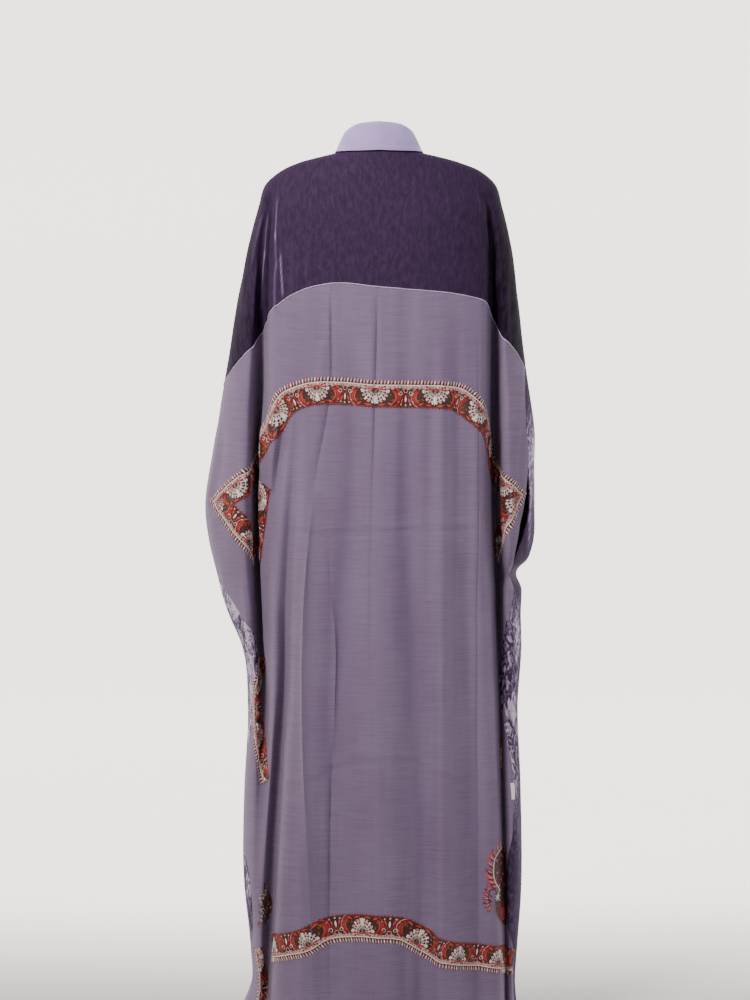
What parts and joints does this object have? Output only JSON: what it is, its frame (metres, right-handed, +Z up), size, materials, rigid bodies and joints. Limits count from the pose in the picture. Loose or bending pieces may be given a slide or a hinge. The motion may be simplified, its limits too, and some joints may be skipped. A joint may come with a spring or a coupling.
{
  "type": "abaya",
  "caption": "Wide open-fronted abaya as it hangs when worn: velvet yoke and fronts, fine wool back with wide hanging sleeves, hand slits and a turned-down collar.",
  "frame": {"origin": "on the wearer's centre line at the height of the nape, where the neck and shoulders hold the garment", "axes": "+Z up, -Y towards the garment's front, +X towards the wearer's left"},
  "size_m": [0.5518, 0.2882, 1.4901],
  "materials": {
    "velvet": "plum pile velvet with a pale sheen where the nap is brushed",
    "wool": "fine matt mauve wool with embroidered borders",
    "collar_cotton": "smooth lilac cotton",
    "label_satin": "blank white satin tape"
  },
  "bodies": {
    "root": {"back_yoke": "velvet", "back_panel": "wool", "front_left": "velvet", "front_right": "velvet", "collar_stand": "collar_cotton", "collar_fall": "collar_cotton", "care_label": "label_satin"}
  },
  "joints": []
}
